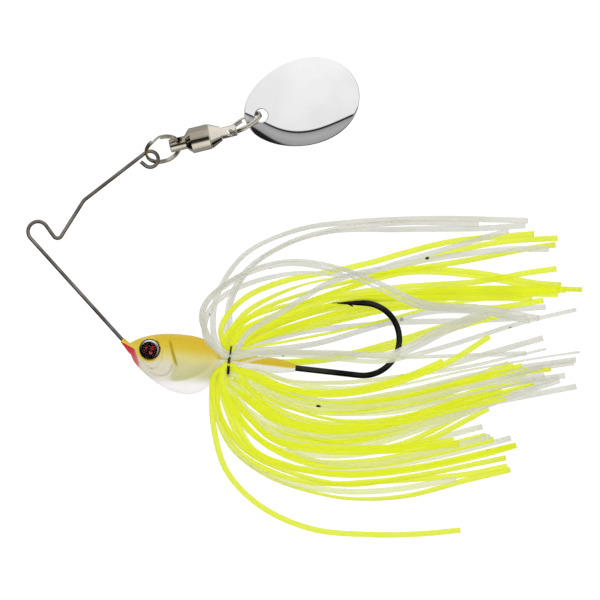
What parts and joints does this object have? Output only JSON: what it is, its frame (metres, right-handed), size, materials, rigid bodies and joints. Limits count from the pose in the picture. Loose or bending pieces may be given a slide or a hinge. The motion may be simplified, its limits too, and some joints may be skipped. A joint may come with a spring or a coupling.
{
  "type": "spinnerbait",
  "caption": "Fishing lure: bent wire with a fish-shaped weighted head, single hook and strand skirt below, and a cupped blade that spins on a ball-bearing swivel above.",
  "frame": {"origin": "centre of the wire's line-tie bend, on the lure's middle plane", "axes": "+X from the line tie towards the hook's bend and the skirt's tips, +Z from the hook towards the blade, +Y across the lure to its far side; the wire, head and hook lie in the plane Y = 0"},
  "size_m": [0.1128, 0.0337, 0.096],
  "materials": {
    "spring_wire": "drawn stainless spring wire, satin",
    "hook_finish": "black nickel plate, glossy",
    "head_paint": "airbrushed gloss paint: amber back, yellow flank, pearl belly, red throat",
    "eye_foil": "printed foil with a dark pupil and a silver edge",
    "clear_lens": "clear domed resin",
    "ring_nickel": "nickel plated spring steel, bright",
    "swivel_nickel": "nickel plated brass, slightly worn",
    "ball_steel": "polished steel",
    "blade_plate": "polished nickel plate",
    "tie_metal": "dark annealed wire",
    "pearl_silicone": "translucent pearl silicone with dark flecks",
    "chartreuse_silicone": "chartreuse silicone, semi-gloss"
  },
  "bodies": {
    "lure_frame": {"form_wire": "spring_wire", "hook": "hook_finish", "head_casting": "head_paint", "eye_disc_near": "eye_foil", "eye_disc_far": "eye_foil", "eye_dome_near": "clear_lens", "eye_dome_far": "clear_lens", "skirt_tie_wire": "tie_metal", "skirt_upper_pearl": "pearl_silicone", "skirt_upper_chartreuse": "chartreuse_silicone", "skirt_lower_pearl": "pearl_silicone", "skirt_lower_chartreuse": "chartreuse_silicone"},
    "lower_ring": {"lower_split_ring": "ring_nickel"},
    "swivel": {"swivel_barrel": "swivel_nickel", "swivel_bearing_race": "swivel_nickel", "swivel_nose_cap": "swivel_nickel"},
    "spindle": {"swivel_spindle": "swivel_nickel"},
    "balls": {"swivel_bearing_balls": "ball_steel"},
    "upper_ring": {"upper_split_ring": "ring_nickel"},
    "blade": {"spinner_blade": "blade_plate"}
  },
  "joints": [
    {"name": "ring_on_wire_loop", "type": "hinge", "parent": "lure_frame", "child": "lower_ring", "pos_m": [0.02244, 0, 0.01446], "axis": [0, 1, 0], "range_deg": [-75, 30]},
    {"name": "swivel_on_lower_ring", "type": "hinge", "parent": "lower_ring", "child": "swivel", "pos_m": [0.02502, -0.00113, 0.01643], "axis": [0.2796, -0.6429, -0.7131], "range_deg": [-60, 75]},
    {"name": "spindle_spin", "type": "hinge", "parent": "swivel", "child": "spindle", "pos_m": [0.02832, -0.00099, 0.0175], "axis": [0.9705, -0.047, 0.2366], "continuous": true},
    {"name": "ball_orbit", "type": "hinge", "parent": "swivel", "child": "balls", "pos_m": [0.02832, -0.00099, 0.0175], "axis": [0.9705, -0.047, 0.2366], "continuous": true},
    {"name": "upper_ring_on_spindle", "type": "hinge", "parent": "spindle", "child": "upper_ring", "pos_m": [0.03841, -0.00148, 0.01996], "axis": [-0.0263, 0.9544, 0.2975], "range_deg": [-90, 90]},
    {"name": "blade_on_upper_ring", "type": "hinge", "parent": "upper_ring", "child": "blade", "pos_m": [0.04145, -0.00192, 0.02164], "axis": [-0.4958, -0.2709, 0.8251], "range_deg": [-60, 60]}
  ],
  "couplings": [
    {"joint": "ball_orbit", "follows": "spindle_spin", "ratio": 0.5}
  ]
}
